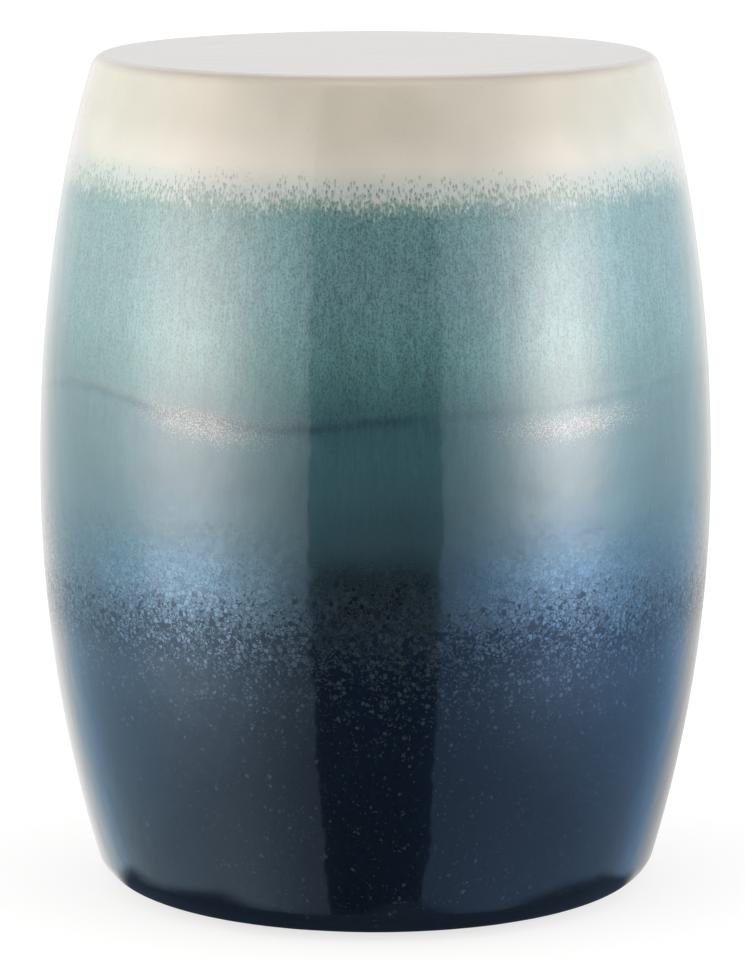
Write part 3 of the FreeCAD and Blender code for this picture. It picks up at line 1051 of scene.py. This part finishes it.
@dataclass
class GlazeCoat:
    """One coat of glaze: a thin closed shell between two lines round the drum."""

    name: str
    node: str
    top: Callable[[Array], Array]       # distance of the upper line for each turn
    bottom: Callable[[Array], Array]
    spans: Sequence[tuple[float, int]]  # share of the way down at which each span ends, and its rows
    closing: Closing = Closing.LOOP
    columns: int = 720
    inner_rows: int = 6

    def mesh(self) -> bpy.types.Object:
        """Builds the shell.

        Rows run down the outer face between the two lines, each at a share of the way, and back
        up the inner face, which lies one thickness of glaze inside the plain skin.
        """
        turn = np.arange(self.columns) * 2 * pi / self.columns
        turn = np.where(turn > pi, turn - 2 * pi, turn)
        shares = [np.zeros(1)]
        begin = 0.0
        for finish, rows in self.spans:
            shares.append(np.linspace(begin, finish, rows + 1)[1:])
            begin = finish
        share = np.concatenate(shares)[:, None]
        if self.closing is Closing.POLES:
            share = share[1:]
        top, bottom = self.top(turn)[None, :], self.bottom(turn)[None, :]
        distance = top + share * (bottom - top)
        outer = skin_points(distance, np.broadcast_to(turn, distance.shape))
        normals = skin_normals(distance, np.broadcast_to(turn, distance.shape))

        back = np.linspace(1, 0, self.inner_rows + 1)[:, None]
        if self.closing is Closing.POLES:
            back = back[:-1]
        inside = top + back * (bottom - top)
        r, z, _ = SIDE.place(inside, np.full_like(inside, SIDE.glaze_thick))
        inner = np.stack([r * np.sin(turn), -r * np.cos(turn), z], axis=-1)

        rings = np.concatenate([outer, inner])
        vertices = rings.reshape(-1, 3)
        if self.closing is Closing.POLES:
            far_off = np.array([1.0])
            lift = RIPPLES.lift(np.array([[0, 0, SIDE.height]]), -far_off, far_off)[0]
            poles = np.array([[0, 0, SIDE.height + lift], [0, 0, SIDE.height - SIDE.glaze_thick]])
            vertices = np.concatenate([vertices, poles])
        quads, triangles = ring_faces(len(rings), self.columns, self.closing)
        thing = new_mesh(self.name, vertices, quads, triangles)

        shading = np.zeros((len(vertices), 3))
        shading[: normals.size // 3] = normals.reshape(-1, 3)
        shown = np.zeros(len(quads) + len(triangles), bool)
        shown[: (len(outer) - 1) * self.columns] = True
        if self.closing is Closing.POLES:
            shading[-2] = (0, 0, 1)
            shown[len(quads): len(quads) + self.columns] = True
        own_normals(thing, shading, shown)
        return thing

    def build(self) -> None:
        """Makes, dresses and seats the coat."""
        thing = self.mesh()
        thing.data.materials.append(ReactiveGlaze(self.node).material())
        seat(thing, self.node, self.node)


@dataclass
class Glaze:
    """The four coats, from the seat down."""

    def build(self) -> None:
        """Builds each coat between its two lines."""
        def level(height: float) -> Callable[[Array], Array]:
            """The line at one height, as distances for each turn."""
            return lambda turn: np.full_like(turn, SIDE.at_level(height * MM))

        def run(turn: Array) -> Array:
            """The run line, as distances for each turn."""
            return SIDE.at_level(RUN.heights(turn))

        def stop(turn: Array) -> Array:
            """The end of the glaze under the foot, as distances for each turn."""
            return np.full_like(turn, SIDE.end())

        seat_share = SIDE.seat_edge() / float(SIDE.at_level(CREAM_LEVEL * MM))
        rim_share = (SIDE.seat_edge() + 14 * MM) / float(SIDE.at_level(CREAM_LEVEL * MM))
        cream, navy = level(CREAM_LEVEL), level(NAVY_LEVEL)
        seat_rows = ((seat_share, 66), (rim_share, 16), (1.0, 30))
        coats = (
            GlazeCoat("cream_coat", "glaze_cream", np.zeros_like, cream, seat_rows, Closing.POLES),
            GlazeCoat("upper_teal_coat", "glaze_upper_teal", cream, run, ((0.8, 56), (1.0, 28))),
            GlazeCoat("lower_teal_coat", "glaze_lower_teal", run, navy, ((0.2, 28), (1.0, 48))),
            GlazeCoat("navy_coat", "glaze_navy", navy, stop, ((0.85, 92), (1.0, 30))),
        )
        for coat in coats:
            coat.build()


@dataclass
class StickOnFoot:
    """A round rubber bumper on its adhesive disc."""

    index: int
    columns: int = 64
    edge_round: float = 0.7 * MM
    dish_depth: float = 0.25 * MM

    def mesh(self) -> bpy.types.Object:
        """A turned pad: flat top, rounded edges and a shallow dish in the face that meets the floor."""
        low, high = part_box(f"rubber_pad_{self.index}")
        middle = (low + high) / 2
        radius = (high.x - low.x) / 2
        top, bottom = high.z, low.z
        bend = np.linspace(pi / 2, -pi / 2, 13)
        edge_r = radius - self.edge_round + self.edge_round * np.cos(bend)
        edge_z = np.where(bend > 0, top, bottom) + self.edge_round * (np.sin(bend) - np.sign(bend))
        edge_z = np.where(bend == 0, (top + bottom) / 2, edge_z)
        in_r = np.linspace(radius - 1.4 * MM, 0.4 * MM, 8)
        in_z = bottom + self.dish_depth * (1 - (in_r / in_r[0]) ** 2)
        r = np.concatenate([[0.4 * MM, radius * 0.6], edge_r, in_r])
        z = np.concatenate([[top, top], edge_z, in_z])
        rings = turned_points(r, z, self.columns)
        vertices = np.concatenate([rings.reshape(-1, 3), [[0, 0, top], [0, 0, in_z[-1]]]])
        vertices = vertices + np.array([middle.x, middle.y, 0])
        quads, triangles = ring_faces(len(r), self.columns, Closing.POLES)
        return new_mesh(f"bumper_{self.index}", vertices, quads, triangles)

    def build(self, rubber: bpy.types.Material) -> None:
        """Makes and seats the pad."""
        thing = self.mesh()
        thing.data.materials.append(rubber)
        seat(thing, "pad_rubber", f"rubber_pad_{self.index}")


def dress_node(node: str, material: bpy.types.Material) -> None:
    """Gives a carried-over node its material."""
    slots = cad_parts[node].data.materials
    slots.clear()
    slots.append(material)
    log.info("%s: dressed in %s", node, material.name)


# The studio

class Side(Enum):
    """The two sides of the studio, as the viewer sees them."""

    LEFT = "where X is below nought"
    RIGHT = "where X is above nought"


@dataclass(frozen=True)
class Screen:
    """A tall diffusing screen at one side, lit from behind. Angles are degrees of bearing."""

    side: Side
    broad: float            # strength of the wide glow
    broad_middle: float
    broad_spread: float
    core: float             # strength of the bright middle of it
    core_spread: float
    low: float              # strength far below eye level
    low_front: float        # share of it near the gap in front
    low_back: float         # its strength round at the back
    hang: float             # strength of the glow that hangs below the bright middle
    beside: Colour          # hue of the sweep beside the stool
    below: Colour           # hue of the low light
    warm: Colour            # hue of the bright middle, from eye level up
    waist: Colour           # further hue beside the stool, from eye level down
    edge: Colour            # hue of the screen's front edge

    def light(self, web: Web, bearing: Socket, rise: Socket) -> Socket:
        """The light that this screen and the sweep behind it send from a direction.

        The wide glow, its core and the glow that hangs below them are bells of the bearing times
        their own profile of height. The sweep grows towards the back, and below eye level it falls
        to the low light. Each part has its hue.

        Args:
            web: the world's node tree.
            bearing: degrees round from the viewer's side.
            rise: degrees above level.

        Returns:
            The tinted light.
        """
        glow_rise = web.ramp(
            web.math("DIVIDE", web.plus(rise, 90.0), 180.0),
            [((level + 90) / 180, (value,) * 3) for level, value in GLOW_BY_RISE],
        )
        glow = web.times(self.broad, web.bell(bearing, self.broad_middle, self.broad_spread), glow_rise)
        core = web.times(self.core, web.bell(bearing, 66.0, self.core_spread), web.bell(rise, -1.0, 11.0))
        swell = web.times(0.3, web.bell(bearing, 112.0, 26.0))
        level_sweep = web.plus(web.ease(bearing, 18.0, 115.0, 0.22, 1.0), swell)
        level_sweep = web.times(level_sweep, web.ease(bearing, 160.0, 174.0, 1.0, 0.8))
        low_sweep = web.times(self.low, web.ease(bearing, 22.0, 66.0, self.low_front, 1.0))
        far_low = web.times(web.ease(bearing, 96.0, 122.0), web.ease(rise, -21.0, -33.0))
        low_sweep = web.times(low_sweep, web.less(1.0, web.times(0.13, far_low)))
        low_back = web.ease(bearing, 112.0, 155.0)
        low_sweep = web.times(low_sweep, web.less(1.0, low_back))
        low_sweep = web.plus(low_sweep, web.times(self.low_back, low_back))
        down = web.ease(rise, -3.0, -21.0)
        sweep = web.plus(web.times(level_sweep, web.less(1.0, down)), web.times(low_sweep, down))
        overhead = web.ease(rise, 24.0, 50.0)
        sweep = web.plus(web.times(sweep, web.less(1.0, overhead)), overhead)
        under = web.ease(rise, -62.0, -50.0, 0.1, 1.0)
        hung = web.times(self.hang, web.bell(bearing, 66.0, 24.0), web.bell(rise, -15.0, 7.5))
        total = web.plus(web.times(sweep, under), glow, core, hung)
        grey = web.add("ShaderNodeCombineColor", {0: total, 1: total, 2: total}).outputs[0]
        round_back = web.ease(bearing, 156.0, 128.0)
        aside = web.times(web.ease(bearing, 76.0, 98.0), round_back, web.ease(rise, 22.0, 13.0))
        low = web.times(web.ease(rise, -7.0, -20.0), round_back, web.less(1.0, web.times(0.4, far_low)))
        hue = web.mix(low, web.mix(aside, (1.0, 1.0, 1.0), self.beside), self.below)
        warmth = web.times(web.bell(bearing, 64.0, 22.0), web.ease(rise, -9.0, 2.0))
        waist = web.times(web.ease(bearing, 74.0, 98.0), round_back, web.bell(rise, -17.0, 14.0))
        near = web.times(web.bell(bearing, 32.0, 15.0), web.bell(rise, 0.0, 13.0))
        edge = web.mix(near, (1.0, 1.0, 1.0), self.edge)
        tint = web.mix(waist, web.mix(warmth, edge, self.warm), self.waist)
        return web.mix(1.0, web.mix(1.0, grey, hue, "MULTIPLY"), tint, "MULTIPLY")


# Profile of a screen's wide glow: degrees above level, share of its strength
GLOW_BY_RISE = (
    (-32, 0.0),
    (-24, 0.11),
    (-17, 0.34),
    (-11, 0.58),
    (-6, 0.82),
    (0, 1.0),
    (8, 0.86),
    (16, 0.62),
    (27, 0.42),
    (50, 0.0),
)
SCREENS = (
    Screen(
        side=Side.LEFT,
        broad=4.0,
        broad_middle=70.0,
        broad_spread=36.5,
        core=2.8,
        core_spread=21.0,
        low=0.72,
        low_front=0.45,
        low_back=0.98,
        hang=1.0,
        beside=(0.95, 1.06, 1.01),
        below=(0.74, 1.00, 1.26),
        warm=(1.0, 0.93, 0.87),
        waist=(0.80, 0.93, 1.0),
        edge=(0.98, 1.14, 1.10),
    ),
    Screen(
        side=Side.RIGHT,
        broad=4.0,
        broad_middle=69.5,
        broad_spread=31.0,
        core=5.0,
        core_spread=16.0,
        low=0.44,
        low_front=0.75,
        low_back=0.60,
        hang=0.1,
        beside=(0.90, 1.06, 1.12),
        below=(0.62, 0.98, 1.54),
        warm=(0.96, 0.91, 0.88),
        waist=(0.92, 1.08, 1.14),
        edge=(1.0, 1.32, 1.44),
    ),
)


@dataclass(frozen=True)
class Studio:
    """Two tall screens with a dark gap between them, a white sweep and a pale floor."""

    gap: float = 22.0               # half width of the dark gap in front, degrees of bearing
    floor_size: float = 24.0
    shade_reach: float = 0.168      # how far out reflections see the painted shade on the floor by the foot

    def world(self) -> None:
        """Light by direction: bearing from the viewer's side and height above level, in degrees."""
        world = bpy.data.worlds.new("studio")
        bpy.context.scene.world = world
        world.use_nodes = True
        world.node_tree.nodes.clear()
        web = Web(world.node_tree)
        way = web.add("ShaderNodeTexCoord", {}).outputs["Generated"]
        parts = web.add("ShaderNodeSeparateXYZ", {0: way})
        turn = web.math("ARCTAN2", parts.outputs["X"], web.times(parts.outputs["Y"], -1.0))
        bearing = web.math("DEGREES", web.math("ABSOLUTE", turn))
        rise = web.math("DEGREES", web.math("ARCSINE", parts.outputs["Z"]))
        lights = {screen.side: screen.light(web, bearing, rise) for screen in SCREENS}
        on_right = web.math("GREATER_THAN", parts.outputs["X"], 0.0)
        lit = web.mix(on_right, lights[Side.LEFT], lights[Side.RIGHT])
        shut = web.times(web.ease(bearing, self.gap + 1.0, self.gap - 0.5), web.ease(rise, 60.0, 40.0))
        pattern = web.mix(shut, lit, (0.0, 0.0, 0.0))
        path = web.add("ShaderNodeLightPath", {})
        seen = web.math("MAXIMUM", path.outputs["Is Camera Ray"], path.outputs["Is Transmission Ray"])
        shown = web.mix(seen, pattern, (1.0, 1.0, 1.0))
        background = web.add("ShaderNodeBackground", {"Color": shown, "Strength": 1.0})
        web.add("ShaderNodeOutputWorld", {"Surface": background.outputs[0]})

    def painted_shade_near_foot(self, web: Web) -> Socket:
        """One where reflections see a painted shade on the floor by the foot, in front and at the sides, and
        nought elsewhere.

        Its edge wanders in and out a little.
        """
        place = web.add("ShaderNodeTexCoord", {}).outputs["Object"]
        parts = web.add("ShaderNodeSeparateXYZ", {0: place})
        x, y = parts.outputs["X"], parts.outputs["Y"]
        squares = web.plus(web.times(x, x), web.times(y, y))
        wander = web.times(web.less(web.noise(place, 90 * MM, 1.0), 0.5), 0.05)
        out = web.less(web.math("SQRT", squares), web.plus(self.shade_reach, wander))
        turn = web.math("ARCTAN2", x, web.times(y, -1.0))
        front = web.ease(web.math("DEGREES", web.math("ABSOLUTE", turn)), 80.0, 68.0)
        return web.times(web.ease(out, 0.012, 0.0), front)

    def floor(self) -> None:
        """A pale floor that shows white where it isn't shaded, and keeps the stool's shadow.

        Shiny surfaces see only a dark painted shade by the foot, and the studio beyond it.
        """
        half = self.floor_size / 2
        corners = np.array([[-half, -half, 0], [half, -half, 0], [half, half, 0], [-half, half, 0]])
        thing = new_mesh("floor", corners, np.array([[0, 1, 2, 3]]), np.zeros((0, 3), int))
        material = bpy.data.materials.new("floor")
        material.use_nodes = True
        material.node_tree.nodes.clear()
        web = Web(material.node_tree)
        path = web.add("ShaderNodeLightPath", {})
        seen = web.math("MAXIMUM", path.outputs["Is Camera Ray"], path.outputs["Is Transmission Ray"])
        pale = web.add("ShaderNodeBsdfDiffuse", {"Color": (0.8, 0.8, 0.8, 1.0)})
        faint = web.add("ShaderNodeBsdfDiffuse", {"Color": (0.34, 0.34, 0.34, 1.0)})
        glow = web.add("ShaderNodeEmission", {"Color": (1.0, 1.0, 1.0, 1.0), "Strength": 0.72})
        white = web.add("ShaderNodeAddShader", {0: faint.outputs[0], 1: glow.outputs[0]})
        either = web.add("ShaderNodeMixShader", {0: seen, 1: pale.outputs[0], 2: white.outputs[0]})
        # painted shade: a dark bluish diffuse that only shiny surfaces see, standing in for the floor's shade
        # by the foot
        shade = web.add("ShaderNodeBsdfDiffuse", {"Color": (0.10, 0.14, 0.21, 1.0)})
        beyond = web.add("ShaderNodeBsdfTransparent", {})
        layers = {0: self.painted_shade_near_foot(web), 1: beyond.outputs[0], 2: shade.outputs[0]}
        mirrored = web.add("ShaderNodeMixShader", layers)
        shiny = path.outputs["Is Glossy Ray"]
        both = web.add("ShaderNodeMixShader", {0: shiny, 1: either.outputs[0], 2: mirrored.outputs[0]})
        web.add("ShaderNodeOutputMaterial", {"Surface": both.outputs[0]})
        thing.data.materials.append(material)

    def build(self) -> None:
        """Sets up the light and the floor."""
        self.world()
        self.floor()


@dataclass(frozen=True)
class Viewpoint:
    """The camera, as the photograph was taken."""

    distance: float = 2.4839
    height: float = 0.6615
    aim: float = 0.2285
    lens: float = 171.5
    shift: tuple[float, float] = (-0.0032, -0.0139)

    def build(self) -> None:
        """Makes the camera and hands it to the scene."""
        camera = bpy.data.cameras.new("camera")
        camera.lens = self.lens
        camera.sensor_width = 36.0
        camera.shift_x, camera.shift_y = self.shift
        camera.clip_end = 60.0
        thing = bpy.data.objects.new("camera", camera)
        thing.location = (0.0, -self.distance, self.height)
        thing.rotation_euler = Euler((pi / 2 - atan2(self.height - self.aim, self.distance), 0.0, 0.0))
        bpy.context.scene.collection.objects.link(thing)
        bpy.context.scene.camera = thing


def main() -> None:
    """Builds the stool and its studio in order."""
    bpy.context.scene.view_settings.view_transform = "Standard"
    Viewpoint().build()
    Studio().build()
    Glaze().build()
    dress_node("drum_body", BareStoneware().material())
    rubber = PadRubber().material()
    adhesive = TapeAdhesive().material()
    for index in range(1, 5):
        StickOnFoot(index).build(rubber)
        dress_node(f"adhesive_disc_{index}", adhesive)


if __name__ == "__main__":
    main()
